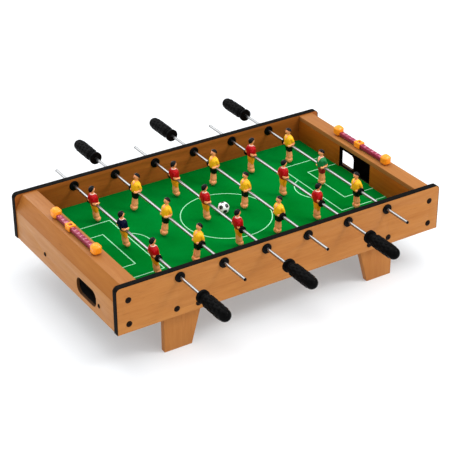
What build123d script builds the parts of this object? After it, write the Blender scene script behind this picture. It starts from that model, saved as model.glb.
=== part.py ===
from build123d import *
from math import cos, radians, sin
import os

# Tabletop foosball: a wooden cabinet on four legs with six sliding, spinning rods.
# Millimetres. +X runs along the table, +Y across it (along the rods) and +Z up.
# The origin is on the floor, under the middle of the table.
# Each end is the other one turned by 180 degrees, so both are drawn in one end's own frame:
# inset is the distance in from the end of the table, across runs over it, rise is up.

os.makedirs("parts", exist_ok=True)

# Cabinet
table_length = 600.0
table_width = 352.0
cabinet_height = 80.0
leg_drop = 66.0
side_thickness = 10.5
board_thickness = 8.0
half_width = table_width / 2
half_inside = half_width - side_thickness

# Black edge trim, round the top and both ends of each side panel
trim_thickness = 1.0
trim_corner_radius = 8.0
trim_edge_radius = 0.4
tongue_width = 1.6
tongue_depth = 4.0
tongue_corner_radius = 3.0

# Ends: upright panel, sloped board, flat top board and goal wall
panel_inset = 1.5
panel_thickness = 5.0
panel_rise = 52.0
top_inset = 14.0
top_rise = 78.0
wall_inset = 41.0
hole_across = -76.5
hole_rise = 23.75
hole_length = 63.0
hole_height = 28.5
hole_corner_radius = 12.0
goal_width = 86.5

# Playfield, held in grooves
field_rise = 30.5
field_thickness = 3.0
side_groove = 4.0
wall_groove = 3.0

# Corner blocks inside the ends
block_inset = 15.0
block_depth = 15.0
block_height = 61.0

# Ball trays
tray_wall = 1.5
tray_ends = (-110.0, 55.5)
tray_back = (6.0, 43.5)
tray_flat_end = -45.0
tray_low_rise = 8.0
tray_high_rise = 27.0
tray_floor = 2.0
tray_end_rise = 40.0
tray_side_gap = 0.5
ear_length = 17.0
ear_rises = (12.0, 28.0)
hole_margin = 1.0

# Legs
leg_inset = 84.5
leg_foot_width = 48.0
leg_slope = 18.0 / 66.0
leg_thickness = 10.0
leg_top_rise = 22.0

# Screws
screw_head_diameter = 9.4
screw_head_height = 1.4
screw_diameter = 4.0
screw_length = 24.0
screw_socket = 3.0
screw_socket_depth = 0.9
corner_screws = ((20.0, 55.8), (20.0, 14.6))
leg_screws = ((101.5, 13.0), (139.5, 11.0))
tray_screw_head = 7.4
tray_screw_diameter = 3.0
tray_screw_across = (-116.5, 64.0)
tray_screw_rise = 20.0

# Rods
rod_count = 6
rod_pitch = 77.0
rod_rise = 67.0
rod_diameter = 5.0
rod_bore = 3.0
running_bore = 5.1
stub_length = 57.0
plug_head = 2.0
plug_stem = 12.0
plug_chamfer = 0.6
# How each rod stands at rest: slid along +Y, and turned about +Y in degrees
rod_shift = (-3.0, -3.0, 2.0, 3.0, 5.0, 3.0)
rod_tilt = (-7.0, 7.0, -4.0, 2.0, 1.0, -3.0)

# Bushings
flange_diameter = 17.0
flange_thickness = 2.5
flange_round = 0.8
sleeve_diameter = 10.0
ring_thickness = 2.0

# Handles
handle_gap = 60.0
handle_length = 71.0
handle_grip_diameter = 20.0
handle_collar_diameter = 22.0
handle_collar_length = 6.5
handle_neck_diameter = 15.0
handle_neck_length = 4.0
handle_bore_depth = 60.0
handle_edge = 1.5

# Players, measured from the rod's axis
player_pitch = 98.0
head_level = 25.5
head_radius = 6.0
neck_level = 15.5
neck_radius = 3.2
shoulder_width = 21.0
shoulder_depth = 9.0
waist_width = 16.0
waist_depth = 14.0
waist_level = -5.0
foot_level = -34.5
foot_width = 10.0
foot_depth = 8.0
bumper_diameter = 12.0
bumper_length = 4.5
bumper_start_from_player = 9.6

# Score counters, on the top boards
counter_inset = 26.6
counter_half_span = 66.5
post_length = 16.0
post_depth = 15.5
post_height = 16.5
post_chamfer = 3.5
rail_width = 8.0
rail_height = 6.0
rail_lift = 2.5
pointer_length = 14.0
pointer_depth = 12.8
pointer_lift = 1.5
pointer_height = 9.5
window_length = 7.0
window_depth = 6.0
pointer_clearance = 0.1
pointer_edge = 1.0
pointer_spot = {"left": 17.5, "right": 7.0}

# Ball
ball_diameter = 20.0
ball_across = 9.0
ball_gap = 0.05

rod_height = leg_drop + rod_rise
field_height = leg_drop + field_rise
end_signs = {"left": 1, "right": -1}
side_signs = {"front": -1, "back": 1}
rod_spots = [((i - (rod_count - 1) / 2) * rod_pitch, rod_rise) for i in range(rod_count)]


def end_plane(inward):
    """Looks along the end board: sketch x is inset, sketch y is rise, and it spans the middle."""
    corner = (-inward * table_length / 2, 0, leg_drop)
    return Plane(origin=corner, x_dir=(inward, 0, 0), z_dir=(0, -inward, 0))


def face_plane(inward, inset):
    """Faces into the table at an inset: sketch x is across, sketch y is rise."""
    spot = (inward * (inset - table_length / 2), 0, leg_drop)
    return Plane(origin=spot, x_dir=(0, inward, 0), z_dir=(inward, 0, 0))


def side_plane(outward):
    """Outer face of a side panel, facing out, with its origin at the lower edge."""
    return Plane(
        origin=(0, outward * half_width, leg_drop), x_dir=(-outward, 0, 0), z_dir=(0, outward, 0)
    )


def arch(plane, width, height, radius):
    """An upright plate's outline with its two top corners rounded."""
    with BuildSketch(plane) as outline:
        Rectangle(width, height, align=(Align.CENTER, Align.MIN))
        fillet(outline.vertices().group_by(Axis.Y)[-1], radius)
    return outline.sketch


def body_outline(foot, waist, shoulder):
    """A player's body seen square on, from its widths at the feet, the waist and the shoulders."""
    widths = ((foot, foot_level), (waist, waist_level), (shoulder, neck_level))
    left = [(-width / 2, level) for width, level in widths]
    right = [(width / 2, level) for width, level in reversed(widths)]
    return left + right


def mirrored(spots):
    """The same spots at both ends of a side panel, measured from its middle."""
    return [(sign * (table_length / 2 - inset), rise) for inset, rise in spots for sign in (-1, 1)]


# Side panels and their edge trim
wood_length = table_length - 2 * trim_thickness
wood_height = cabinet_height - trim_thickness
wood_corner = trim_corner_radius - trim_thickness
tongue_plane_drop = -(side_thickness - tongue_width) / 2
groove_length = table_length - 2 * (wall_inset - wall_groove)

for side, outward in side_signs.items():
    face = side_plane(outward)
    wood = arch(face, wood_length, wood_height, wood_corner)
    core = arch(
        face.offset(tongue_plane_drop),
        wood_length - 2 * tongue_depth,
        wood_height - tongue_depth,
        tongue_corner_radius,
    )
    slot = arch(face.offset(tongue_plane_drop), wood_length, wood_height, wood_corner)

    with BuildPart() as side_panel:
        extrude(wood, amount=-side_thickness)
        extrude(slot, amount=-tongue_width, mode=Mode.SUBTRACT)
        extrude(core, amount=-tongue_width)
        with BuildSketch(face) as rod_holes:
            with Locations(*rod_spots):
                Circle(sleeve_diameter / 2)
        extrude(amount=-side_thickness, mode=Mode.SUBTRACT)
        with BuildSketch(face) as screw_holes:
            with Locations(*mirrored(corner_screws + leg_screws)):
                Circle(screw_diameter / 2)
        extrude(amount=-side_thickness, mode=Mode.SUBTRACT)
        with BuildSketch(face.offset(-side_thickness)) as field_groove:
            with Locations((0, field_rise)):
                Rectangle(groove_length, field_thickness, align=(Align.CENTER, Align.MAX))
        extrude(amount=side_groove, mode=Mode.SUBTRACT)
    side_panel.part.label = f"{side}_side_panel"
    export_step(side_panel.part, f"parts/{side}_side_panel.step")

    with BuildPart() as trim:
        extrude(arch(face, table_length, cabinet_height, trim_corner_radius), amount=-side_thickness)
        faces = trim.faces().filter_by(Axis.Y)
        rims = faces.edges().filter_by(lambda edge: edge.center().Z > leg_drop + 1)
        fillet(rims, trim_edge_radius)
        extrude(wood, amount=-side_thickness, mode=Mode.SUBTRACT)
        extrude(slot, amount=-tongue_width)
        extrude(core, amount=-tongue_width, mode=Mode.SUBTRACT)
    trim.part.label = f"{side}_edge_trim"
    export_step(trim.part, f"parts/{side}_edge_trim.step")

# Ends: the sloped board meets the panel and the top board on mitres
slope_run = top_inset - panel_inset
slope_climb = top_rise - panel_rise
slope_length = (slope_run**2 + slope_climb**2) ** 0.5
along = Vector(slope_run, slope_climb) / slope_length
inner_start = Vector(panel_inset, panel_rise) + Vector(along.Y, -along.X) * board_thickness


def inner_slope_at(inset=None, rise=None):
    """The point of the sloped board's inner face at an inset or at a rise."""
    if inset is not None:
        step = (inset - inner_start.X) / along.X
    else:
        step = (rise - inner_start.Y) / along.Y
    spot = inner_start + along * step
    return (spot.X, spot.Y)


low_outer = (panel_inset, panel_rise)
panel_inner = panel_inset + panel_thickness
low_inner = inner_slope_at(inset=panel_inner)
high_outer = (top_inset, top_rise)
high_inner = inner_slope_at(rise=top_rise - board_thickness)
wall_outer = wall_inset - board_thickness
top_under = top_rise - board_thickness
end_profiles = {
    "end_panel": [(panel_inset, 0), (panel_inner, 0), low_inner, low_outer],
    "slope_board": [low_outer, low_inner, high_inner, high_outer],
    "top_board": [high_outer, high_inner, (wall_inset, top_under), (wall_inset, top_rise)],
    "goal_wall": [(wall_outer, 0), (wall_inset, 0), (wall_inset, top_under), (wall_outer, top_under)],
}

for end, inward in end_signs.items():
    for piece, corners in end_profiles.items():
        with BuildPart() as board:
            with BuildSketch(end_plane(inward)) as profile:
                Polygon(*corners, align=None)
            extrude(amount=half_inside, both=True)
            if piece == "end_panel":
                with BuildSketch(face_plane(inward, panel_inset)) as openings:
                    with Locations((hole_across, hole_rise)):
                        RectangleRounded(hole_length, hole_height, hole_corner_radius)
                    with Locations(*[(across, tray_screw_rise) for across in tray_screw_across]):
                        Circle(tray_screw_diameter / 2)
                extrude(amount=panel_thickness, mode=Mode.SUBTRACT)
            if piece == "goal_wall":
                with BuildSketch(face_plane(inward, wall_outer)) as goal:
                    with Locations((0, field_rise)):
                        Rectangle(goal_width, top_under - field_rise, align=(Align.CENTER, Align.MIN))
                extrude(amount=board_thickness, mode=Mode.SUBTRACT)
                with BuildSketch(face_plane(inward, wall_inset)) as field_groove:
                    with Locations((0, field_rise)):
                        Rectangle(2 * half_inside, field_thickness, align=(Align.CENTER, Align.MAX))
                extrude(amount=-wall_groove, mode=Mode.SUBTRACT)
        board.part.label = f"{end}_{piece}"
        export_step(board.part, f"parts/{end}_{piece}.step")

    # Ball tray: a thin back wall against the end panel, a ramp, two end walls and two screw ears
    far_end, near_end = tray_ends
    with BuildPart() as tray:
        with BuildSketch(face_plane(inward, panel_inner)) as ramp:
            Polygon(
                (far_end, tray_low_rise - tray_floor),
                (tray_flat_end, tray_low_rise - tray_floor),
                (near_end, tray_high_rise - tray_floor),
                (near_end, tray_end_rise),
                (near_end - tray_wall, tray_end_rise),
                (near_end - tray_wall, tray_high_rise),
                (tray_flat_end, tray_low_rise),
                (far_end + tray_wall, tray_low_rise),
                (far_end + tray_wall, tray_end_rise),
                (far_end, tray_end_rise),
                align=None,
            )
        extrude(amount=wall_outer - panel_inner - tray_side_gap)
        with BuildSketch(face_plane(inward, panel_inner)) as back_wall:
            with Locations(((far_end + near_end) / 2, sum(tray_back) / 2)):
                Rectangle(near_end - far_end, tray_back[1] - tray_back[0])
            for edge, direction in ((far_end, -1), (near_end, 1)):
                with Locations((edge + direction * ear_length / 2, sum(ear_rises) / 2)):
                    Rectangle(ear_length, ear_rises[1] - ear_rises[0])
            with Locations((hole_across, hole_rise)):
                Rectangle(hole_length, hole_height + hole_margin, mode=Mode.SUBTRACT)
            with Locations(*[(across, tray_screw_rise) for across in tray_screw_across]):
                Circle(tray_screw_diameter / 2, mode=Mode.SUBTRACT)
        extrude(amount=tray_wall)
    tray.part.label = f"{end}_ball_tray"
    export_step(tray.part, f"parts/{end}_ball_tray.step")

    # Score counter: a flat rail and a pointer that slides along it, with a window over the marks
    counter_x = -inward * (table_length / 2 - counter_inset)
    board_top = leg_drop + top_rise
    rail_plane = Plane(origin=(counter_x, 0, board_top), x_dir=(1, 0, 0), z_dir=(0, -1, 0))
    rail_half = counter_half_span - post_length / 2
    with BuildPart() as score_rail:
        with BuildSketch(rail_plane) as section:
            with Locations((0, rail_lift)):
                Rectangle(rail_width, rail_height, align=(Align.CENTER, Align.MIN))
        extrude(amount=rail_half, both=True)
    score_rail.part.label = f"{end}_score_rail"
    export_step(score_rail.part, f"parts/{end}_score_rail.step")

    with BuildPart() as pointer:
        with BuildSketch(rail_plane.offset(-pointer_spot[end])) as section:
            with Locations((0, pointer_lift)):
                Rectangle(pointer_depth, pointer_height, align=(Align.CENTER, Align.MIN))
            fillet(section.vertices().group_by(Axis.Y)[-1], pointer_edge)
            channel = rail_width + 2 * pointer_clearance
            with Locations((0, pointer_lift)):
                Rectangle(
                    channel,
                    rail_lift + rail_height + pointer_clearance - pointer_lift,
                    align=(Align.CENTER, Align.MIN),
                    mode=Mode.SUBTRACT,
                )
        extrude(amount=pointer_length / 2, both=True)
        with BuildSketch(Plane.XY.offset(board_top + pointer_lift + pointer_height)) as window:
            with Locations((counter_x, pointer_spot[end])):
                Rectangle(window_depth, window_length)
        extrude(amount=-pointer_height, mode=Mode.SUBTRACT)
    pointer.part.label = f"{end}_score_pointer"
    export_step(pointer.part, f"parts/{end}_score_pointer.step")

with BuildPart() as playfield_board:
    with BuildSketch(Plane.XY.offset(field_height - field_thickness)) as outline:
        Rectangle(groove_length, 2 * (half_inside + side_groove))
    extrude(amount=field_thickness)
playfield_board.part.label = "playfield_board"
export_step(playfield_board.part, "parts/playfield_board.step")

# Corner blocks, drilled for the screws that come through the side panels
block_width = wall_outer - block_inset
block_spot = (table_length / 2 - block_inset - block_width / 2, half_inside - block_depth / 2)
with BuildPart() as corner_blocks:
    with BuildSketch(Plane.XY.offset(leg_drop)) as feet:
        with GridLocations(2 * block_spot[0], 2 * block_spot[1], 2, 2):
            Rectangle(block_width, block_depth)
    extrude(amount=block_height)
    for outward in side_signs.values():
        with BuildSketch(side_plane(outward)) as pilot_holes:
            with Locations(*mirrored(corner_screws)):
                Circle(screw_diameter / 2)
        extrude(amount=-screw_length, mode=Mode.SUBTRACT)
corner_blocks.part.label = "corner_blocks"
export_step(corner_blocks.part, "parts/corner_blocks.step")

# Legs: one upright edge, one sloping edge
leg_height = leg_drop + leg_top_rise
for side, outward in side_signs.items():
    for end, inward in end_signs.items():
        inner_face = Plane(
            origin=(0, outward * half_inside, 0), x_dir=(inward, 0, 0), z_dir=(0, -inward, 0)
        )
        into_table = leg_thickness * outward * inward
        upright = leg_inset - table_length / 2
        with BuildPart() as leg:
            with BuildSketch(inner_face) as outline:
                Polygon(
                    (upright, 0),
                    (upright + leg_foot_width, 0),
                    (upright + leg_foot_width + leg_slope * leg_height, leg_height),
                    (upright, leg_height),
                    align=None,
                )
            extrude(amount=into_table)
            with BuildSketch(side_plane(outward)) as pilot_holes:
                with Locations(*mirrored(leg_screws)):
                    Circle(screw_diameter / 2)
            extrude(amount=-side_thickness - leg_thickness, mode=Mode.SUBTRACT)
        leg.part.label = f"{side}_{end}_leg"
        export_step(leg.part, f"parts/{side}_{end}_leg.step")

# Screws: dark domed heads on the outer faces, with a hex socket
leg_screw_length = side_thickness + leg_thickness - 1
screw_groups = ((corner_screws, screw_length), (leg_screws, leg_screw_length))
with BuildPart() as cabinet_screws:
    for outward in side_signs.values():
        for spots, length in screw_groups:
            with BuildSketch(side_plane(outward)) as shanks:
                with Locations(*mirrored(spots)):
                    Circle(screw_diameter / 2)
            extrude(amount=-length)
            with BuildSketch(side_plane(outward)) as heads:
                with Locations(*mirrored(spots)):
                    Circle(screw_head_diameter / 2)
            extrude(amount=screw_head_height, taper=30)
            with BuildSketch(side_plane(outward).offset(screw_head_height)) as sockets:
                with Locations(*mirrored(spots)):
                    RegularPolygon(screw_socket / 2, 6)
            extrude(amount=-screw_socket_depth, mode=Mode.SUBTRACT)
cabinet_screws.part.label = "cabinet_screws"
export_step(cabinet_screws.part, "parts/cabinet_screws.step")

with BuildPart() as tray_screws:
    for inward in end_signs.values():
        outer = face_plane(inward, panel_inset)
        spots = [(across, tray_screw_rise) for across in tray_screw_across]
        with BuildSketch(outer) as shanks:
            with Locations(*spots):
                Circle(tray_screw_diameter / 2)
        extrude(amount=panel_thickness + tray_wall)
        with BuildSketch(outer) as heads:
            with Locations(*spots):
                Circle(tray_screw_head / 2)
        extrude(amount=-screw_head_height, taper=30)
tray_screws.part.label = "tray_screws"
export_step(tray_screws.part, "parts/tray_screws.step")

# Bushings: the flanged sleeve goes in from outside, the ring snaps on inside
with BuildPart() as rod_bushings:
    for outward in side_signs.values():
        face = side_plane(outward)
        with BuildSketch(face) as flanges:
            with Locations(*rod_spots):
                Circle(flange_diameter / 2)
        extrude(amount=flange_thickness)
        outer_rims = rod_bushings.edges().filter_by(GeomType.CIRCLE).group_by(Axis.Y)
        fillet(outer_rims[0 if outward < 0 else -1], flange_round)
        with BuildSketch(face) as sleeves:
            with Locations(*rod_spots):
                Circle(sleeve_diameter / 2)
        extrude(amount=-side_thickness - ring_thickness)
        with BuildSketch(face.offset(flange_thickness)) as bores:
            with Locations(*rod_spots):
                Circle(running_bore / 2)
        extrude(amount=-flange_thickness - side_thickness - ring_thickness, mode=Mode.SUBTRACT)
rod_bushings.part.label = "rod_bushings"
export_step(rod_bushings.part, "parts/rod_bushings.step")

with BuildPart() as bushing_rings:
    for outward in side_signs.values():
        with BuildSketch(side_plane(outward).offset(-side_thickness)) as rings:
            with Locations(*rod_spots):
                Circle(flange_diameter / 2)
                Circle(sleeve_diameter / 2, mode=Mode.SUBTRACT)
        extrude(amount=-ring_thickness)
bushing_rings.part.label = "bushing_rings"
export_step(bushing_rings.part, "parts/bushing_rings.step")

with BuildPart() as score_posts:
    post_spot = table_length / 2 - counter_inset
    with BuildSketch(Plane.XY.offset(leg_drop + top_rise)) as feet:
        with GridLocations(2 * post_spot, 2 * counter_half_span, 2, 2):
            Rectangle(post_depth, post_length)
    extrude(amount=post_height)
    chamfer(score_posts.edges().filter_by(Axis.Z), post_chamfer)
    levels = score_posts.faces().group_by(Axis.Z)
    chamfer(levels[0].edges() + levels[-1].edges(), post_chamfer)
score_posts.part.label = "score_posts"
export_step(score_posts.part, "parts/score_posts.step")

with BuildPart() as ball:
    with BuildSketch(
        Plane(
            origin=(0, ball_across, field_height + ball_gap + ball_diameter / 2),
            x_dir=(1, 0, 0),
            z_dir=(0, -1, 0),
        )
    ) as half_disc:
        Circle(ball_diameter / 2)
        Rectangle(ball_diameter, ball_diameter, align=(Align.MAX, Align.CENTER), mode=Mode.SUBTRACT)
    revolve(axis=Axis((0, ball_across, 0), (0, 0, 1)))
ball.part.label = "ball"
export_step(ball.part, "parts/ball.step")

# Rods: odd ones have their handle at the front, even ones at the back.
# Along a rod, distance runs from the table's middle line towards its handle.
handle_start = half_width + handle_gap
handle_end = handle_start + handle_length
rod_tail = half_width + stub_length - plug_head
bumper_start = player_pitch + bumper_start_from_player

for number in range(1, rod_count + 1):
    spot_x = rod_spots[number - 1][0]
    shift = rod_shift[number - 1]
    towards_handle = -1 if number % 2 else 1
    facing = 1 if number % 2 else -1
    middle = (spot_x, shift, rod_height)
    rod_axis = Axis(middle, (0, towards_handle, 0))
    lengthwise = Plane(origin=middle, x_dir=(0, towards_handle, 0), z_dir=(1, 0, 0))
    crosswise = Plane(origin=middle, x_dir=(1, 0, 0), z_dir=(0, towards_handle, 0))

    with BuildPart() as rod:
        with BuildSketch(crosswise.offset(-rod_tail)) as tube:
            Circle(rod_diameter / 2)
            Circle(rod_bore / 2, mode=Mode.SUBTRACT)
        extrude(amount=rod_tail + handle_start + handle_bore_depth)
    rod.part.label = f"rod_{number}"
    export_step(rod.part, f"parts/rod_{number}.step")

    with BuildPart() as end_plug:
        with BuildSketch(crosswise.offset(-rod_tail)) as head:
            Circle(rod_diameter / 2)
        extrude(amount=-plug_head)
        chamfer(end_plug.faces().sort_by(rod_axis)[0].edges(), plug_chamfer)
        with BuildSketch(crosswise.offset(-rod_tail)) as stem:
            Circle(rod_bore / 2)
        extrude(amount=plug_stem)
    end_plug.part.label = f"end_plug_{number}"
    export_step(end_plug.part, f"parts/end_plug_{number}.step")

    # Handle: collar, neck, and a grip with a domed end
    grip_radius = handle_grip_diameter / 2
    collar_radius = handle_collar_diameter / 2
    narrow_radius = handle_neck_diameter / 2
    collar_end = handle_start + handle_collar_length
    neck_end = collar_end + handle_neck_length
    with BuildPart() as handle:
        with BuildSketch(lengthwise) as half_section:
            with BuildLine():
                Polyline(
                    (handle_end - grip_radius, grip_radius),
                    (neck_end + handle_edge, grip_radius),
                    (neck_end, narrow_radius),
                    (collar_end, narrow_radius),
                    (collar_end, collar_radius - handle_edge),
                    (collar_end - handle_edge, collar_radius),
                    (handle_start + handle_edge, collar_radius),
                    (handle_start, collar_radius - handle_edge),
                    (handle_start, running_bore / 2),
                    (handle_start + handle_bore_depth + 1, running_bore / 2),
                    (handle_start + handle_bore_depth + 1, 0),
                    (handle_end, 0),
                )
                CenterArc((handle_end - grip_radius, 0), grip_radius, 0, 90)
            make_face()
        revolve(axis=rod_axis)
    handle.part.label = f"handle_{number}"
    export_step(handle.part, f"parts/handle_{number}.step")

    # Rubber bumpers outside the first and third player
    with BuildPart() as bumpers:
        for outside in (-1, 1):
            start = outside * bumper_start
            with BuildSketch(crosswise.offset(start)) as ring:
                Circle(bumper_diameter / 2)
                Circle(running_bore / 2, mode=Mode.SUBTRACT)
            extrude(amount=outside * bumper_length)
    bumpers.part.label = f"bumpers_{number}"
    export_step(bumpers.part, f"parts/bumpers_{number}.step")

    # Players: three solid figures, turned with the rod. A body is where its side and front outlines
    # meet when both are drawn right through it.
    tilt = radians(rod_tilt[number - 1])
    up = Vector(sin(tilt), 0, cos(tilt))
    forward = Vector(cos(tilt), 0, -sin(tilt)) * facing
    with BuildPart() as players:
        for step in (-player_pitch, 0, player_pitch):
            chest = Vector(*middle) + Vector(0, step, 0)
            figure = Plane(origin=chest, x_dir=forward, z_dir=up)
            side_view = Plane(origin=chest, x_dir=forward, z_dir=forward.cross(up))
            front_view = Plane(origin=chest, x_dir=up.cross(forward), z_dir=forward)
            with BuildSketch(side_view) as side_outline:
                Polygon(*body_outline(foot_depth, waist_depth, shoulder_depth), align=None)
            extrude(amount=shoulder_width / 2, both=True)
            with BuildSketch(front_view) as front_outline:
                Rectangle(2 * shoulder_width, 4 * shoulder_width)
                Polygon(
                    *body_outline(foot_width, waist_width, shoulder_width),
                    align=None,
                    mode=Mode.SUBTRACT,
                )
            extrude(amount=waist_depth, both=True, mode=Mode.SUBTRACT)
            with BuildSketch(figure.offset(neck_level)) as neck:
                Circle(neck_radius)
            extrude(amount=head_level - neck_level)
            head_spot = figure.offset(head_level).origin
            with BuildSketch(Plane(head_spot, x_dir=forward, z_dir=(0, 1, 0))) as half_head:
                Circle(head_radius)
                Rectangle(
                    head_radius * 2,
                    head_radius * 2,
                    align=(Align.CENTER, Align.MAX),
                    mode=Mode.SUBTRACT,
                )
            revolve(axis=Axis(head_spot, forward))
        with BuildSketch(crosswise.offset(-rod_tail)) as bore:
            Circle(running_bore / 2)
        extrude(amount=rod_tail + handle_start, mode=Mode.SUBTRACT)
    players.part.label = f"players_{number}"
    export_step(players.part, f"parts/players_{number}.step")
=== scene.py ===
"""The looks of the tabletop foosball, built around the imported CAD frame.

Blender objects are in metres, in the row frame: +X along the table, +Y across it, +Z up.
Turned and lofted shapes are drawn in millimetres and placed by a matrix that scales them.
"""

import math

import bmesh
import bpy
from mathutils import Euler, Matrix, Vector


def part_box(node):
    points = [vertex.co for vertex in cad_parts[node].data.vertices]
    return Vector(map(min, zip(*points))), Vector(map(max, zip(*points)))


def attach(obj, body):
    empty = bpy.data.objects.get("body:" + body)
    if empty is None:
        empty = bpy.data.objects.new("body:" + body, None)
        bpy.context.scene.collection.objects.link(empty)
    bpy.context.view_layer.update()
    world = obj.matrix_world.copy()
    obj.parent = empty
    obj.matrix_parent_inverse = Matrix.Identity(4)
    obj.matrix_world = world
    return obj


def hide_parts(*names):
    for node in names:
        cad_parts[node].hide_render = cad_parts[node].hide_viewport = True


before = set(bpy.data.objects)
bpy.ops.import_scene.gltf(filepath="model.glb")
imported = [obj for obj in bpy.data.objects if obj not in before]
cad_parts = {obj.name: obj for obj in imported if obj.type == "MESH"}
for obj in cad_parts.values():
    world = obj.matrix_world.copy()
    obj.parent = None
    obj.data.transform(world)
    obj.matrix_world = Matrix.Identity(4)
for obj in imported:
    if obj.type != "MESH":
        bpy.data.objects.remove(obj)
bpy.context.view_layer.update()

MM = 0.001
RODS = (1, 2, 3, 4, 5, 6)
ENDS = {"left": 1, "right": -1}
SIDES = {"front": -1, "back": 1}

# How far each rod is turned at rest, in degrees about +Y, as the players' solids are
REST_TILT = (-7.0, 7.0, -4.0, 2.0, 1.0, -3.0)

# In mm: the tube's radius, the bore of what it runs in or carries, and the plain grip's radius
ROD_RADIUS = 2.49
BORE = 2.56
GRIP_RADIUS = 9.8

# In mm along a rod: from player to player, and from the middle player to a bumper's near face
PLAYER_PITCH = 98.0
BUMPER_SPOT = 107.6

# Points of a CAD mesh closer than this, in metres, are one point
WELD = 2e-6


# ---------------------------------------------------------------- colours, linear

WOOD_FACE = ((0.475, 0.192, 0.047), (0.375, 0.131, 0.027))
WOOD_END = ((0.485, 0.218, 0.065), (0.388, 0.149, 0.039))
WOOD_TOP = ((0.375, 0.154, 0.042), (0.297, 0.106, 0.025))
WOOD_SLOPE = ((0.405, 0.151, 0.031), (0.324, 0.107, 0.018))
# Inner faces of the side panels: the same foil made darker, painted shade for the inside of the
# cabinet
WOOD_INNER_PAINTED_SHADE = ((0.345, 0.104, 0.015), (0.240, 0.062, 0.008))
# Goal walls: the foil made darker and deeper, painted shade for the inside of the cabinet
WOOD_GOAL_PAINTED_SHADE = ((0.400, 0.112, 0.009), (0.275, 0.066, 0.004))
BOARD_CORE = ((0.34, 0.20, 0.10), (0.24, 0.13, 0.06))
GREEN = (0.0003, 0.174, 0.022)
GREEN_DEEP = (0.0002, 0.124, 0.011)
LINE = (0.33, 0.72, 0.45)
BLACK = (0.002, 0.002, 0.0022)
BLACK_TRIM = (0.0045, 0.0040, 0.0036)
BLACK_GRIP = (0.002, 0.002, 0.002)
CHROME = (0.38, 0.38, 0.382)
BRONZE = (0.010, 0.0045, 0.0025)
# Cut edge of the return holes: raw board darkened well below its core colour, partly painted shade
HOLE_EDGE_PAINTED_SHADE = ((0.110, 0.048, 0.017), (0.075, 0.030, 0.010))
ORANGE = (0.92, 0.29, 0.012)
MAROON = (0.24, 0.016, 0.048)
PINK = (0.66, 0.24, 0.34)
SKIN = (1.0, 0.372, 0.142)
PALE_SKIN = (0.95, 0.60, 0.50)
HAIR = (0.004, 0.0035, 0.004)
OCHRE = (1.0, 0.33, 0.008)
RED = (0.42, 0.0015, 0.004)
YELLOW = (1.0, 0.49, 0.010)
NAVY = (0.0012, 0.0020, 0.020)
KEEPER_GREEN = (0.008, 0.20, 0.055)
KEEPER_MAROON = (0.30, 0.004, 0.012)
LIPS = (0.55, 0.10, 0.07)
BALL_WHITE = (0.86, 0.87, 0.86)
BALL_BLACK = (0.012, 0.012, 0.013)


# ---------------------------------------------------------------- material tools

def add_node(tree, kind, **sockets):
    """A node with the given inputs set or linked; a socket's name has underscores for spaces."""
    node = tree.nodes.new(kind)
    for name, value in sockets.items():
        socket = node.inputs[name.replace("_", " ")]
        if isinstance(value, bpy.types.NodeSocket):
            tree.links.new(value, socket)
        else:
            socket.default_value = value
    return node


def stretched(tree, stretch):
    """The piece's own coordinates, in metres, stretched along each axis."""
    spot = tree.nodes.new("ShaderNodeTexCoord")
    scaled = add_node(tree, "ShaderNodeMapping", Vector=spot.outputs["Object"])
    scaled.inputs["Scale"].default_value = stretch
    return scaled.outputs["Vector"]


def noise(tree, where, scale, detail=3.0, rough=0.5):
    """Fractal noise from 0 to 1 at the given coordinates."""
    made = add_node(
        tree, "ShaderNodeTexNoise", Vector=where, Scale=scale, Detail=detail, Roughness=rough
    )
    return made.outputs["Fac"]


def ramp(tree, value, low, high, low_out=0.0, high_out=1.0):
    """Maps low..high onto low_out..high_out, held at both ends."""
    made = add_node(tree, "ShaderNodeMapRange", Value=value)
    made.inputs["From Min"].default_value = low
    made.inputs["From Max"].default_value = high
    made.inputs["To Min"].default_value = low_out
    made.inputs["To Max"].default_value = high_out
    return made.outputs["Result"]


def blended(tree, share, first, second):
    """Colour between first and second; either may be a colour or a socket."""
    mix = tree.nodes.new("ShaderNodeMix")
    mix.data_type = "RGBA"
    tree.links.new(share, mix.inputs["Factor"])
    for socket, value in ((mix.inputs[6], first), (mix.inputs[7], second)):
        if isinstance(value, bpy.types.NodeSocket):
            tree.links.new(value, socket)
        else:
            socket.default_value = (*value, 1.0)
    return mix.outputs[2]


def combined(tree, operation, first, second):
    """One math node on two values; either may be a number or a socket."""
    made = tree.nodes.new("ShaderNodeMath")
    made.operation = operation
    for socket, value in zip(made.inputs, (first, second)):
        if isinstance(value, bpy.types.NodeSocket):
            tree.links.new(value, socket)
        else:
            socket.default_value = value
    return made.outputs[0]


def bumped(tree, shader, height, distance, strength):
    """Gives the shader a relief of the height socket, distance metres deep."""
    made = add_node(tree, "ShaderNodeBump", Height=height, Distance=distance, Strength=strength)
    tree.links.new(made.outputs["Normal"], shader.inputs["Normal"])


def new_material(name):
    """A material with its node tree and its principled shader."""
    made = bpy.data.materials.new(name)
    made.use_nodes = True
    tree = made.node_tree
    return made, tree, tree.nodes["Principled BSDF"]


def plastic(name, colour, rough=0.3, spread=0.12, coat=0.0, grain=900.0, relief=0.00002, shine=0.4):
    """Moulded or painted plastic: a slightly uneven colour, small changes in gloss, fine relief."""
    made, tree, shader = new_material(name)
    where = stretched(tree, (1, 1, 1))
    cloud = noise(tree, where, 160.0, 4.0)
    darker = tuple(c * (1 - spread) for c in colour)
    lighter = tuple(min(1.0, c * (1 + spread) + 0.002) for c in colour)
    tint = blended(tree, ramp(tree, cloud, 0.3, 0.7), darker, lighter)
    tree.links.new(tint, shader.inputs["Base Color"])
    fine = noise(tree, where, grain, 2.0)
    gloss = ramp(tree, fine, 0.3, 0.7, rough * 0.85, rough * 1.15)
    tree.links.new(gloss, shader.inputs["Roughness"])
    shader.inputs["Specular IOR Level"].default_value = shine
    shader.inputs["Coat Weight"].default_value = coat
    shader.inputs["Coat Roughness"].default_value = 0.12
    bumped(tree, shader, fine, relief, 0.5)
    return made


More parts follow.
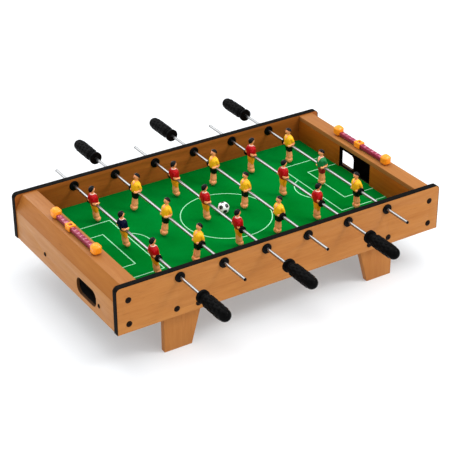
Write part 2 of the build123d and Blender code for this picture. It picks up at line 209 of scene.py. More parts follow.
def wood(name, tones, along, shift=0.0):
    """Wood-grain foil on board: streaks along one axis, broad clouds, and fine dark pores."""
    light, dark = tones
    made, tree, shader = new_material(name)
    run = {axis: (1.0 if axis == along else 14.0) for axis in "xyz"}
    where = stretched(tree, tuple(run[axis] for axis in "xyz"))
    moved = add_node(tree, "ShaderNodeMapping", Vector=where)
    moved.inputs["Location"].default_value = (shift, shift * 0.7, shift * 1.3)
    where = moved.outputs["Vector"]
    broad = noise(tree, where, 2.2, 2.0, 0.6)
    streaks = noise(tree, where, 13.0, 6.0, 0.62)
    threads = noise(tree, where, 70.0, 3.0, 0.55)
    pores = ramp(tree, noise(tree, where, 48.0, 2.0, 0.5), 0.64, 0.74)
    body = combined(tree, "ADD", combined(tree, "MULTIPLY", broad, 0.55),
                    combined(tree, "MULTIPLY", streaks, 0.6))
    body = combined(tree, "ADD", body, combined(tree, "MULTIPLY", threads, 0.22))
    colour = blended(tree, ramp(tree, body, 0.48, 0.88), light, dark)
    pore_colour = tuple(c * 0.62 for c in dark)
    colour = blended(tree, combined(tree, "MULTIPLY", pores, 0.45), colour, pore_colour)
    tree.links.new(colour, shader.inputs["Base Color"])
    gloss = ramp(tree, streaks, 0.3, 0.7, 0.36, 0.47)
    tree.links.new(gloss, shader.inputs["Roughness"])
    shader.inputs["Specular IOR Level"].default_value = 0.12
    bumped(tree, shader, combined(tree, "SUBTRACT", threads, pores), 0.00006, 0.35)
    return made


def metal(name, colour, rough):
    """Drawn and plated steel: faint lines along the rods, in Y, and a little change in polish."""
    made, tree, shader = new_material(name)
    lines = noise(tree, stretched(tree, (60.0, 3.0, 60.0)), 60.0, 3.0)
    tint = blended(tree, ramp(tree, lines, 0.3, 0.7), tuple(c * 0.9 for c in colour), colour)
    tree.links.new(tint, shader.inputs["Base Color"])
    gloss = ramp(tree, lines, 0.3, 0.7, rough * 0.8, rough * 1.3)
    tree.links.new(gloss, shader.inputs["Roughness"])
    shader.inputs["Metallic"].default_value = 1.0
    bumped(tree, shader, lines, 0.00001, 0.25)
    return made


def pitch(name, colour, deep, spread):
    """Printed sheet: even ink with broad clouds and a fine paper tooth under a satin film."""
    made, tree, shader = new_material(name)
    where = stretched(tree, (1, 1, 1))
    clouds = noise(tree, where, 9.0, 3.0, 0.55)
    tooth = noise(tree, where, 1600.0, 2.0)
    tint = blended(tree, ramp(tree, clouds, 0.35, 0.68), colour, deep)
    speck = tuple(c * (1 - spread) for c in deep)
    tint = blended(tree, ramp(tree, tooth, 0.5, 0.9, 0.0, 0.35), tint, speck)
    tree.links.new(tint, shader.inputs["Base Color"])
    gloss = ramp(tree, tooth, 0.3, 0.7, 0.34, 0.44)
    tree.links.new(gloss, shader.inputs["Roughness"])
    shader.inputs["Specular IOR Level"].default_value = 0.0
    bumped(tree, shader, tooth, 0.00002, 0.4)
    return made


face_wood = wood("wood_foil_panel", WOOD_FACE, "x")
inner_wood_painted_shade = wood("wood_foil_inner_painted_shade", WOOD_INNER_PAINTED_SHADE, "x", 3.1)
end_wood = wood("wood_foil_end", WOOD_END, "y", 5.3)
top_wood = wood("wood_foil_top", WOOD_TOP, "y", 1.7)
slope_wood = wood("wood_foil_slope", WOOD_SLOPE, "y", 4.4)
goal_wood_painted_shade = wood("wood_foil_goal_wall_painted_shade", WOOD_GOAL_PAINTED_SHADE, "y", 7.9)
leg_wood = wood("wood_foil_leg", WOOD_FACE, "z", 2.6)
hole_edge = wood("hole_edge_board_painted_shade", HOLE_EDGE_PAINTED_SHADE, "y", 6.6)
core_board = wood("raw_board", BOARD_CORE, "x", 9.2)
trim_black = plastic("trim_black", BLACK_TRIM, rough=0.5, grain=700.0, shine=0.012)
part_black = plastic("moulded_black", BLACK, rough=0.30, grain=1100.0, shine=0.035)
grip_black = plastic("grip_black", BLACK_GRIP, rough=0.13, grain=600.0, shine=0.016)
rubber_black = plastic("rubber_black", BLACK, rough=0.5, grain=2200.0, relief=0.00004, shine=0.08)
tray_black = plastic("tray_black", BLACK, rough=0.40, grain=500.0, shine=0.05)
bronze = plastic("screw_bronze", BRONZE, rough=0.35, spread=0.3, shine=0.04)
chrome = metal("rod_chrome", CHROME, 0.27)
orange = plastic("counter_orange", ORANGE, rough=0.26, spread=0.07, shine=0.25)
maroon = plastic("counter_maroon", MAROON, rough=0.28, spread=0.15, shine=0.25)
numeral_pink = plastic("numeral_pink", PINK, rough=0.35, spread=0.08)
ball_white = plastic("ball_white", BALL_WHITE, rough=0.28, spread=0.03, coat=0.3)
ball_black = plastic("ball_black", BALL_BLACK, rough=0.30, coat=0.3)
green_ink = pitch("pitch_green", GREEN, GREEN_DEEP, 0.30)
line_ink = pitch("pitch_lines", LINE, tuple(c * 0.9 for c in LINE), 0.06)
skin = plastic("figure_skin", SKIN, rough=0.30, spread=0.04, shine=0.55)
hair = plastic("figure_hair", HAIR, rough=0.24, shine=0.10)
lips = plastic("figure_lips", LIPS, rough=0.4)


# ---------------------------------------------------------------- shape tools

def smooth_through(points, steps):
    """Points of any length joined by a Catmull-Rom curve, with steps spans between neighbours."""
    made = []
    last = len(points) - 1
    for i in range(last):
        before, a, b, after = (points[max(0, min(last, i + k))] for k in (-1, 0, 1, 2))
        for step in range(steps):
            t = step / steps
            made.append(tuple(
                0.5 * (2 * q + (r - p) * t + (2 * p - 5 * q + 4 * r - s) * t * t
                       + (3 * q - p - 3 * r + s) * t ** 3)
                for p, q, r, s in zip(before, a, b, after)
            ))
    made.append(tuple(points[-1]))
    return made


def ring_faces(bm, rings, material=0, cap_start=True, cap_end=True):
    """Quads between rings of the same number of points, closed at the ends."""
    loops = [[bm.verts.new(point) for point in ring] for ring in rings]
    count = len(loops[0])
    faces = []
    for first, second in zip(loops, loops[1:]):
        for i in range(count):
            j = (i + 1) % count
            faces.append(bm.faces.new((first[i], first[j], second[j], second[i])))
    if cap_start:
        faces.append(bm.faces.new(list(reversed(loops[0]))))
    if cap_end:
        faces.append(bm.faces.new(loops[-1]))
    for face in faces:
        face.material_index = material
    return loops


def turned(bm, profile, steps=48, relief=None):
    """A closed body of (along, radius) turned about local z.

    relief(along, angle) adds to the radius.
    """
    rings = []
    for along, radius in profile:
        ring = []
        for i in range(steps):
            angle = 2 * math.pi * i / steps
            full = radius + (relief(along, angle) if relief else 0.0)
            ring.append((full * math.cos(angle), full * math.sin(angle), along))
        rings.append(ring)
    ring_faces(bm, rings)


def circle(radius, level, steps=48):
    """Points round a circle about local z."""
    return [(radius * math.cos(2 * math.pi * i / steps), radius * math.sin(2 * math.pi * i / steps),
             level) for i in range(steps)]


def turned_tube(bm, profile):
    """A closed outline of (along, radius) turned about local z into a ring, open on its axis."""
    loops = ring_faces(bm, [circle(r, z) for z, r in profile], cap_start=False, cap_end=False)
    first, last = loops[0], loops[-1]
    for i in range(len(first)):
        j = (i + 1) % len(first)
        bm.faces.new((last[i], last[j], first[j], first[i]))


def rounded(profile, radius, steps=4):
    """The same profile with each inner corner cut to a small arc of about the given radius."""
    made = [profile[0]]
    for before, corner, after in zip(profile, profile[1:], profile[2:]):
        corner = Vector(corner)
        to_before = Vector(before) - corner
        to_after = Vector(after) - corner
        reach = min(radius, to_before.length * 0.45, to_after.length * 0.45)
        start = corner + to_before.normalized() * reach
        end = corner + to_after.normalized() * reach
        for i in range(steps + 1):
            t = i / steps
            made.append(tuple(start * (1 - t) ** 2 + corner * (2 * t * (1 - t)) + end * t * t))
    made.append(profile[-1])
    return made


def placing(origin, x_axis, z_axis):
    """Millimetres with the given x and z directions, onto metres at the origin."""
    x_axis = Vector(x_axis).normalized()
    z_axis = Vector(z_axis).normalized()
    y_axis = z_axis.cross(x_axis)
    turn = Matrix((x_axis, y_axis, z_axis)).transposed().to_4x4()
    return Matrix.Translation(origin) @ turn @ Matrix.Diagonal((MM, MM, MM, 1.0))


def joined(parts):
    """One bmesh from several (bmesh, matrix) pairs."""
    whole = bmesh.new()
    for part, matrix in parts:
        part.transform(matrix)
        carried = bpy.data.meshes.new("carried")
        part.to_mesh(carried)
        part.free()
        whole.from_mesh(carried)
        bpy.data.meshes.remove(carried)
    return whole


def finished(name, bm, materials, body, replaced=(), sharp=38.0):
    """Makes the piece, smooth but for its sharp edges, and ties it to the frame."""
    bmesh.ops.recalc_face_normals(bm, faces=bm.faces)
    mesh = bpy.data.meshes.new(name)
    bm.to_mesh(mesh)
    bm.free()
    for each in materials:
        mesh.materials.append(each)
    if "custom_normal" in mesh.attributes:
        mesh.attributes.remove(mesh.attributes["custom_normal"])
    mesh.shade_smooth()
    mesh.set_sharp_from_angle(angle=math.radians(sharp))
    made = bpy.data.objects.new(name, mesh)
    bpy.context.scene.collection.objects.link(made)
    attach(made, body)
    if replaced:
        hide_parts(*replaced)


def middle(node):
    """The middle of a CAD node's box at rest."""
    low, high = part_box(node)
    return (low + high) / 2


def eased(name, node, materials, body, edge=0.5, pick=None):
    """A CAD node's shape with its sharp edges eased by a small round, standing for that node."""
    bm = bmesh.new()
    bm.from_mesh(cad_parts[node].data)
    bmesh.ops.remove_doubles(bm, verts=bm.verts, dist=WELD)
    flat = math.radians(0.5)
    bmesh.ops.dissolve_limit(bm, angle_limit=flat, verts=bm.verts, edges=bm.edges)
    corner = math.radians(24)
    edges = [e for e in bm.edges if e.is_manifold and e.calc_face_angle(0.0) > corner]
    bmesh.ops.bevel(
        bm, geom=edges, offset=edge * MM, offset_type="OFFSET", segments=3, profile=0.5,
        affect="EDGES", clamp_overlap=True,
    )
    bm.normal_update()
    for face in bm.faces:
        face.material_index = pick(face) if pick else 0
    finished(name, bm, materials, body, [node], sharp=50.0)


# ---------------------------------------------------------------- cabinet

def inner_face(outward):
    """Picks the inner face of a side panel whose outer face looks along outward Y; that face takes
    a darker copy of the wood foil, painted shade for the inside of the cabinet.
    """
    def pick(face):
        return 1 if face.normal.y * outward < -0.5 else 0
    return pick


def mouth_reveal(face):
    """Picks the faces across the wall inside a goal's mouth, away from its outline; they are
    coloured black.
    """
    low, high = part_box("left_goal_wall")
    spot = face.calc_center_median()
    inside = abs(spot.y) < high.y / 2 and low.z + 0.01 < spot.z < high.z - 0.002
    return 1 if inside and abs(face.normal.x) < 0.5 else 0


def return_hole_edge(face):
    """Picks the cut edge of an end panel's return hole, and not the panel's own outline; that edge
    takes a dark board colour that is partly the board's raw core and partly painted shade.
    """
    low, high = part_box("left_end_panel")
    spot = face.calc_center_median()
    inside = low.z + 0.004 < spot.z < high.z - 0.006 and abs(spot.y) < high.y - 0.004
    return 1 if inside and abs(face.normal.x) < 0.5 else 0


def cabinet():
    """Boards, edge trims, legs and ball trays: the CAD shapes with their edges eased."""
    for side, outward in SIDES.items():
        # The inner faces take the darker foil, which is painted shade
        eased(f"{side}_panel_board", f"{side}_side_panel", [face_wood, inner_wood_painted_shade],
              "table", 0.4, inner_face(outward))
        eased(f"{side}_panel_trim", f"{side}_edge_trim", [trim_black], "table", 0.5)
        for end in ENDS:
            eased(f"{side}_{end}_leg_board", f"{side}_{end}_leg", [leg_wood],
                  "table", 1.3)
    for end in ENDS:
        # The return hole's cut edge takes the dark board colour, partly painted shade
        eased(f"{end}_end_board", f"{end}_end_panel", [end_wood, hole_edge],
              "table", 0.4, return_hole_edge)
        eased(f"{end}_sloped_board", f"{end}_slope_board", [slope_wood], "table", 0.5)
        eased(f"{end}_flat_board", f"{end}_top_board", [top_wood], "table", 0.5)
        # The goal wall's darker foil is painted shade
        eased(f"{end}_goal_board", f"{end}_goal_wall", [goal_wood_painted_shade, tray_black],
              "table", 0.4, mouth_reveal)
        eased(f"{end}_tray_moulding", f"{end}_ball_tray", [tray_black], "table", 0.3)
    eased("corner_block_set", "corner_blocks", [core_board], "table", 0.5)


def field():
    """The printed pitch, and its lines as a thin layer of ink."""
    def unprinted(face):
        """Picks every face of the board but its top."""
        return 1 if face.normal.z < 0.5 else 0

    eased("pitch_board", "playfield_board", [green_ink, core_board],
          "table", 0.2, unprinted)

    # In mm: the line's half width and thickness, and the marks of one end, mirrored at the other
    half_line = 0.8
    ink = 0.05
    goal_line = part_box("left_goal_wall")[1].x / MM
    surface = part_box("playfield_board")[1].z / MM
    centre_radius, centre_steps = 75.5, 96
    penalty = (-169.4, 88.8)
    goal_area = (-200.6, 53.5)
    arc_centre, arc_radius, arc_steps = -185.5, 41.5, 24

    def stroke(bm, points, closed=False):
        """A flat line of ink through the points, mitred at its corners."""
        count = len(points)
        rails = []
        for i, point in enumerate(points):
            point = Vector(point)
            before = Vector(points[i - 1]) if i or closed else None
            after = Vector(points[(i + 1) % count]) if i < count - 1 or closed else None
            into = (point - before).normalized() if before else (after - point).normalized()
            out = (after - point).normalized() if after else into
            across = Vector((-(into + out).y, (into + out).x)).normalized()
            reach = half_line / max(0.3, across.dot(Vector((-into.y, into.x))))
            rails.append((point + across * reach, point - across * reach))
        tops = [[bm.verts.new((*spot, ink)) for spot in pair] for pair in rails]
        feet = [[bm.verts.new((*spot, 0.0)) for spot in pair] for pair in rails]
        spans = range(count if closed else count - 1)
        for i in spans:
            j = (i + 1) % count
            (a, b), (c, d) = tops[i], tops[j]
            (e, f), (g, h) = feet[i], feet[j]
            for corners in ((b, a, c, d), (a, e, g, c), (f, b, d, h), (e, f, h, g)):
                bm.faces.new(corners)
        if not closed:
            bm.faces.new((tops[0][0], tops[0][1], feet[0][1], feet[0][0]))
            bm.faces.new((tops[-1][1], tops[-1][0], feet[-1][0], feet[-1][1]))

    bm = bmesh.new()
    sweep = math.acos((penalty[0] - arc_centre) / arc_radius)
    arc = [-sweep + 2 * sweep * i / arc_steps for i in range(arc_steps + 1)]
    for sign in (1, -1):
        for x, y in (penalty, goal_area):
            corners = [(goal_line, -y), (x, -y), (x, y), (goal_line, y)]
            stroke(bm, [(sign * a, sign * b) for a, b in corners])
        stroke(bm, [(sign * (arc_centre + arc_radius * math.cos(angle)),
                     sign * arc_radius * math.sin(angle)) for angle in arc])
    stroke(bm, [spot[:2] for spot in circle(centre_radius, 0.0, centre_steps)], closed=True)
    whole = joined([(bm, placing((0, 0, surface * MM), (1, 0, 0), (0, 0, 1)))])
    finished("pitch_line_ink", whole, [line_ink], "table")


# ---------------------------------------------------------------- screws and bushings

def screw_head(radius, height, socket, depth):
    """A domed head with a six-sided socket, standing on z = 0."""
    outline = rounded([(-0.2, radius), (0.35, radius), (height, radius * 0.45)], 0.9, 6)
    rings = [circle(r, z) for z, r in outline]
    steps = len(rings[0])

    def hexagon(z, size):
        """As many points as a ring has, on a hexagon of the given corner radius."""
        ring = []
        for i in range(steps):
            angle = 2 * math.pi * i / steps
            across = math.cos((angle % (math.pi / 3)) - math.pi / 6)
            r = size * math.cos(math.pi / 6) / across
            ring.append((r * math.cos(angle), r * math.sin(angle), z))
        return ring

    rings += [hexagon(height, socket * 1.12), hexagon(height - 0.12, socket),
              hexagon(height - depth, socket)]
    bm = bmesh.new()
    ring_faces(bm, rings)
    return bm


def islands(bm):
    """The loose parts of a mesh, each as a list of its points."""
    made, seen = [], set()
    for start in bm.verts:
        if start in seen:
            continue
        island, stack = [], [start]
        seen.add(start)
        while stack:
            vert = stack.pop()
            island.append(vert.co.copy())
            for edge in vert.link_edges:
                other = edge.other_vert(vert)
                if other not in seen:
                    seen.add(other)
                    stack.append(other)
        made.append(island)
    return made


def screws():
    """Heads where the CAD screws' own heads are: each loose part of the node is one screw."""
    height, socket, depth = 1.4, 1.6, 0.9
    for node, axis, radius in (("cabinet_screws", 1, 5.0), ("tray_screws", 0, 3.7)):
        bm = bmesh.new()
        bm.from_mesh(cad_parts[node].data)
        bmesh.ops.remove_doubles(bm, verts=bm.verts, dist=WELD)
        parts = []
        for island in islands(bm):
            low = Vector([min(spot[k] for spot in island) for k in range(3)])
            high = Vector([max(spot[k] for spot in island) for k in range(3)])
            seat = (low + high) / 2
            outward = 1 if seat[axis] > 0 else -1
            seat[axis] = (high if outward > 0 else low)[axis] - outward * height * MM
            facing = Vector((0, 0, 0))
            facing[axis] = outward
            head = screw_head(radius, height, socket, depth)
            parts.append((head, placing(seat, (0, 0, 1), facing)))
        bm.free()
        finished(f"{node}_heads", joined(parts), [bronze], "table", [node])


def bushings():
    """Flanged sleeves outside and rings inside, each with a raised hub round the bore."""
    flange_profile = rounded(
        [(-12.5, BORE), (2.3, BORE), (2.5, 3.0), (2.5, 4.4), (1.7, 5.1), (1.7, 6.3), (2.2, 7.2),
         (1.6, 8.5), (0.0, 8.5), (0.0, 5.0), (-12.5, 5.0)], 0.5, 4)
    ring_profile = rounded(
        [(0.0, 5.02), (2.0, 5.02), (2.0, 6.6), (1.3, 8.5), (0.0, 8.5)], 0.5, 4)
    sleeves, rings = [], []
    low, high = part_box("front_side_panel")
    thickness = high.y - low.y
    for k in RODS:
        spot = middle(f"rod_{k}")
        for side, outward in SIDES.items():
            low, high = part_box(f"{side}_side_panel")
            face = high.y if outward > 0 else low.y
            sleeve, ring = bmesh.new(), bmesh.new()
            turned_tube(sleeve, flange_profile)
            turned_tube(ring, ring_profile)
            sleeves.append((sleeve, placing((spot.x, face, spot.z), (0, 0, 1), (0, outward, 0))))
            inside = face - outward * thickness
            rings.append((ring, placing((spot.x, inside, spot.z), (0, 0, 1), (0, -outward, 0))))
    finished("bushing_sleeves", joined(sleeves), [part_black], "table",
             ["rod_bushings"])
    finished("bushing_inner_rings", joined(rings), [part_black], "table",
             ["bushing_rings"])


# ---------------------------------------------------------------- rods, plugs, bumpers, handles

def lug_relief(along, angle):
    """Rows of oblong lugs round the grip, every second row set half a step round."""
    rows, first, pitch_along = 5, 19.4, 8.6
    around, half_length, half_width = 12, 3.1, 1.15
    height, soft = 1.0, 0.28
    row = round((along - first) / pitch_along)
    if row < 0 or row >= rows:
        return 0.0
    step = 2 * math.pi / around
    turn = angle - (row % 2) * step / 2
    off_angle = (turn + step / 2) % step - step / 2
    dx = max(0.0, abs(along - first - row * pitch_along) - (half_length - half_width))
    dy = abs(off_angle) * GRIP_RADIUS
    inside = half_width - math.hypot(dx, dy)
    t = max(0.0, min(1.0, 0.5 + inside / (2 * soft)))
    return height * t * t * (3 - 2 * t)


def handle_profile():
    """Grip from the face with the rod's hole to the domed end, in mm along the handle."""
    collar, neck, start, length = 11.0, 6.8, 15.4, 71.0
    nose = rounded([(3.0, BORE), (0.3, BORE), (0.0, 3.0), (0.0, collar - 0.4), (0.4, collar),
                    (4.2, collar), (4.8, collar - 0.6), (5.6, neck), (8.6, neck), (9.6, 9.0),
                    (11.4, 9.0), (12.4, 8.2), (13.4, 8.2), (14.8, GRIP_RADIUS),
                    (start, GRIP_RADIUS)], 1.0, 5)
    body_steps = 90
    body_length = length - GRIP_RADIUS - start
    body = [(start + body_length * i / body_steps, GRIP_RADIUS) for i in range(1, body_steps + 1)]
    round_end = [(length - GRIP_RADIUS + GRIP_RADIUS * math.sin(t), GRIP_RADIUS * math.cos(t))
                 for t in (math.radians(5 * i) for i in range(1, 18))]
    return nose + body + round_end + [(length, 0.12)]


def rods():
    """Tube and end cap on the sliding body, bumpers and grip on the turning one."""
    for k in RODS:
        slide, spin = f"rod_{k}_slide", f"rod_{k}_spin"
        low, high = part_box(f"rod_{k}")
        spot = middle(f"rod_{k}")
        towards = -1 if k % 2 else 1
        start, end = (high.y, low.y) if towards < 0 else (low.y, high.y)
        length = abs(end - start) / MM
        along_rod = placing((spot.x, start, spot.z), (0, 0, 1), (0, towards, 0))

        tube = bmesh.new()
        turned(tube, rounded([(0.0, 1.5), (0.0, ROD_RADIUS), (length, ROD_RADIUS), (length, 1.5)],
                             0.35))
        finished(f"rod_{k}_tube", joined([(tube, along_rod)]), [chrome], slide,
                 [f"rod_{k}"])

        plug = bmesh.new()
        turned(plug, rounded([(0.4, 1.4), (-0.02, 2.46), (-1.4, 2.46), (-2.0, 1.7), (-2.0, 0.1)],
                             0.5))
        finished(f"rod_{k}_end_cap", joined([(plug, along_rod)]), [part_black], slide,
                 [f"end_plug_{k}"])

        caps = []
        rest = middle(f"players_{k}").y
        for outside in (-1, 1):
            ring = bmesh.new()
            turned_tube(ring, rounded([(0.2, BORE), (0.0, 3.0), (0.0, 5.6), (0.6, 6.0), (3.9, 6.0),
                                       (4.5, 5.3), (4.5, 3.0), (4.3, BORE)], 0.5, 4))
            near = rest + outside * BUMPER_SPOT * MM
            caps.append((ring, placing((spot.x, near, spot.z), (0, 0, 1), (0, outside, 0))))
        finished(f"rod_{k}_bumper_pair", joined(caps), [rubber_black], spin,
                 [f"bumpers_{k}"])

        low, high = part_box(f"handle_{k}")
        start = high.y if towards < 0 else low.y
        grip = bmesh.new()
        turned(grip, handle_profile(), steps=132, relief=lug_relief)
        placed = placing((spot.x, start, spot.z), (0, 0, 1), (0, towards, 0))
        finished(f"rod_{k}_grip", joined([(grip, placed)]), [grip_black], spin,
                 [f"handle_{k}"], sharp=60.0)


# ---------------------------------------------------------------- players

def superellipse(half_depth, half_width, power, steps):
    """Points (forward, side) round an ellipse with squarer corners as the power rises."""
    points = []
    for i in range(steps):
        angle = 2 * math.pi * i / steps
        c, s = math.cos(angle), math.sin(angle)
        points.append((
            half_depth * math.copysign(abs(c) ** (2 / power), c),
            half_width * math.copysign(abs(s) ** (2 / power), s),
        ))
    return points


def lofted(bm, sections, material, steps=32, spans=3, crease=0.0):
    """Sections of (level, half width, half depth, forward, squareness), joined smoothly.

    crease draws the middle of the front and back in, between the legs.
    """
    rings = []
    for level, width, depth, forward, power in smooth_through(sections, spans):
        ring = []
        for f, s in superellipse(depth, width, power, steps):
            f *= 1 - crease * math.exp(-((s / 1.15) ** 2))
            ring.append((f + forward, s, level))
        rings.append(ring)
    ring_faces(bm, rings, material)


def limb(bm, points, material, steps=16, spans=4):
    """A round limb through (forward, side, level, radius) points, rounded at both ends."""
    line = smooth_through(points, spans)
    first, last = line[0], line[-1]

    def cap(at, towards):
        """Three shrinking rings beyond an end, which close the limb."""
        way = (Vector(at[:3]) - Vector(towards[:3])).normalized()
        made = []
        for reach, share in ((0.5, 0.86), (0.86, 0.5), (0.98, 0.2)):
            spot = Vector(at[:3]) + way * at[3] * reach
            made.append((*spot, at[3] * share))
        return made

    line = list(reversed(cap(first, line[1]))) + line + cap(last, line[-2])
    rings = []
    for i, (f, s, u, radius) in enumerate(line):
        before = Vector(line[max(0, i - 1)][:3])
        after = Vector(line[min(len(line) - 1, i + 1)][:3])
        way = (after - before).normalized()
        across = way.cross(Vector((0.3, 1.0, 0.2))).normalized()
        other = way.cross(across)
        ring = []
        for j in range(steps):
            angle = 2 * math.pi * j / steps
            spoke = across * math.cos(angle) + other * math.sin(angle)
            ring.append(Vector((f, s, u)) + spoke * radius)
        rings.append(ring)
    ring_faces(bm, rings, material)


def egg(bm, centre, radii, material, steps=20, rings=12, taper=0.0):
    """An ellipsoid of radii (forward, side, up), narrower towards its lower end by taper."""
    made = []
    for i in range(1, rings):
        polar = math.pi * i / rings
        level = -math.cos(polar)
        share = math.sin(polar) * (1 + taper * min(0.0, level))
        made.append([(centre[0] + radii[0] * share * math.cos(2 * math.pi * j / steps),
                      centre[1] + radii[1] * share * math.sin(2 * math.pi * j / steps),
                      centre[2] + radii[2] * level) for j in range(steps)])
    ring_faces(bm, made, material)


HEAD_CENTRE = Vector((0.5, 0.0, 25.3))
HEAD_RADII = Vector((4.9, 4.5, 5.4))


def head_surface(direction, lift=0.0):
    """The point where a direction from the head's centre leaves the head, plus a lift."""
    way = Vector(direction).normalized()
    reach = 1 / math.sqrt(sum((way[k] / HEAD_RADII[k]) ** 2 for k in range(3)))
    return HEAD_CENTRE + way * (reach + lift)


def hair_cap(bm, material, steps=44, rings=14):
    """A cap of combed hair, lower at the back than over the forehead, with shallow locks."""
    pole = Vector((-0.40, 0.0, 0.92)).normalized()
    ahead = Vector((0.92, 0.0, 0.40)).normalized()
    aside = pole.cross(ahead)
    made = []
    for i in range(rings + 1):
        ring = []
        for j in range(steps):
            turn = 2 * math.pi * j / steps
            limit = math.radians(68 + 31 * (0.5 - 0.5 * math.cos(turn)) ** 2)
            polar = limit * max(0.04, min(i, rings - 1) / (rings - 1))
            level = ahead * math.cos(turn) + aside * math.sin(turn)
            way = pole * math.cos(polar) + level * math.sin(polar)
            locks = 0.16 * math.cos(11 * turn) * math.sin(polar)
            fuller = 0.35 * math.sin(polar) ** 2
            lift = -0.45 if i == rings else 0.62 + locks + fuller
            ring.append(head_surface(way, lift))
        made.append(ring)
    ring_faces(bm, made, material)


def figure(hem, hem_share):
    """One player in mm: x forward, y to the side, z up from the rod's axis.

    hem is the level of the shorts' hem. A hem_share under 1 makes the hem shallower than the
    legs, which then show in front of it and behind it.
    Material slots: skin, shirt, shorts, hair, lips, collar.
    """
    SKIN_SLOT, SHIRT, SHORTS, DARK, LIP, COLLAR = range(6)
    bm = bmesh.new()
    # Shirt: narrow at the collar, widest over the elbows, tucked in at the waist
    torso = [
        (-2.2, 6.3, 4.9, 0.0, 2.6), (-1.8, 7.1, 5.6, 0.0, 2.8), (0.8, 7.8, 6.3, 0.1, 2.9),
        (4.4, 8.5, 6.8, 0.0, 3.0), (8.6, 8.7, 6.8, 0.0, 2.9), (12.0, 9.0, 6.5, 0.0, 2.8),
        (14.8, 7.9, 5.6, 0.0, 2.5), (16.6, 5.5, 4.4, 0.0, 2.2), (17.8, 3.5, 3.3, 0.0, 2.0),
    ]
    lofted(bm, torso, SHIRT, steps=36)
    # Shorts
    mid = (hem - 2.0) / 2
    lofted(bm, [
        (-1.4, 6.0, 4.6, 0.0, 2.6), (-2.2, 6.8, 5.4, 0.0, 2.7),
        (mid, 6.6, 5.4 * (0.5 + 0.5 * hem_share), 0.0, 2.7),
        (hem + 0.8, 5.9, 4.9 * hem_share, -0.1, 2.6), (hem + 0.1, 5.6, 4.6 * hem_share, -0.1, 2.5),
        (hem, 4.6, 3.5 * hem_share, -0.1, 2.4),
    ], SHORTS, crease=0.14)
    # Legs and feet: one block, creased down the middle, flaring to squared feet, toes forward
    knee = hem + 1.5 + 12 * (1 - hem_share)
    lofted(bm, [
        (knee, 4.4, 3.4, 0.0, 2.4), (knee - 1.0, 4.9, 4.0, 0.0, 2.5),
        (-18.6, 5.2, 4.6, -0.2, 2.6), (-22.4, 5.8, 4.9, -0.2, 2.7), (-25.2, 5.5, 4.6, 0.0, 2.7),
        (-26.6, 5.7, 4.7, 0.2, 2.8), (-27.8, 6.4, 5.1, 0.5, 3.0), (-30.4, 6.4, 5.0, 0.8, 3.0),
        (-32.6, 5.4, 4.1, 1.2, 2.9), (-34.0, 3.9, 2.8, 1.5, 2.6), (-34.5, 1.8, 1.2, 1.6, 2.3),
    ], SKIN_SLOT, steps=48, crease=0.60)
    # Neck, head, ears and nose
    lofted(bm, [
        (14.8, 3.0, 2.9, 0.0, 2.0), (17.4, 2.75, 2.65, 0.1, 2.0),
        (20.0, 2.6, 2.5, 0.2, 2.0), (22.0, 2.6, 2.5, 0.3, 2.0),
    ], SKIN_SLOT, steps=24)
    egg(bm, HEAD_CENTRE, HEAD_RADII, SKIN_SLOT, steps=28, rings=18, taper=0.10)
    for side in (-1, 1):
        egg(bm, head_surface((-0.1, side, -0.12), -0.15), (0.85, 0.55, 1.15), SKIN_SLOT, 10, 8)
        egg(bm, head_surface((1.0, side * 0.40, 0.06), -0.18), (0.34, 0.62, 0.50), DARK, 12, 8)
        egg(bm, head_surface((1.0, side * 0.40, 0.27), -0.12), (0.26, 0.85, 0.18), DARK, 12, 8)
    egg(bm, head_surface((1.0, 0.0, -0.10), -0.1), (0.85, 0.55, 0.95), SKIN_SLOT, 12, 8)
    egg(bm, head_surface((1.0, 0.0, -0.43), -0.14), (0.26, 1.05, 0.26), LIP, 14, 8)
    hair_cap(bm, DARK)
    # Arms: short sleeves, elbows out, hands forward at the rod
    for side in (-1, 1):
        limb(bm, [
            (-0.3, side * 7.0, 12.9, 3.1), (-1.9, side * 7.4, 10.2, 3.2),
            (-3.1, side * 7.5, 7.6, 3.1), (-3.4, side * 7.5, 6.7, 2.85),
        ], SHIRT)
        limb(bm, [
            (-3.5, side * 7.7, 6.2, 2.4), (-4.1, side * 7.9, 4.0, 2.5),
            (-2.3, side * 8.0, 2.0, 2.35), (1.6, side * 7.9, 1.0, 2.2),
            (4.0, side * 7.0, 0.6, 2.0),
        ], SKIN_SLOT)
        egg(bm, (4.7, side * 6.4, 0.5), (2.15, 2.1, 2.3), SKIN_SLOT, 14, 9)
    collar = [(level, width, depth, 0.0, 2.1) for level, width, depth in (
        (15.6, 5.0, 4.2), (16.4, 5.0, 4.3), (17.4, 4.1, 3.8), (18.2, 3.3, 3.2))]
    lofted(bm, collar, COLLAR, steps=28)
    neckline(bm, torso, SKIN_SLOT, COLLAR)
    return bm


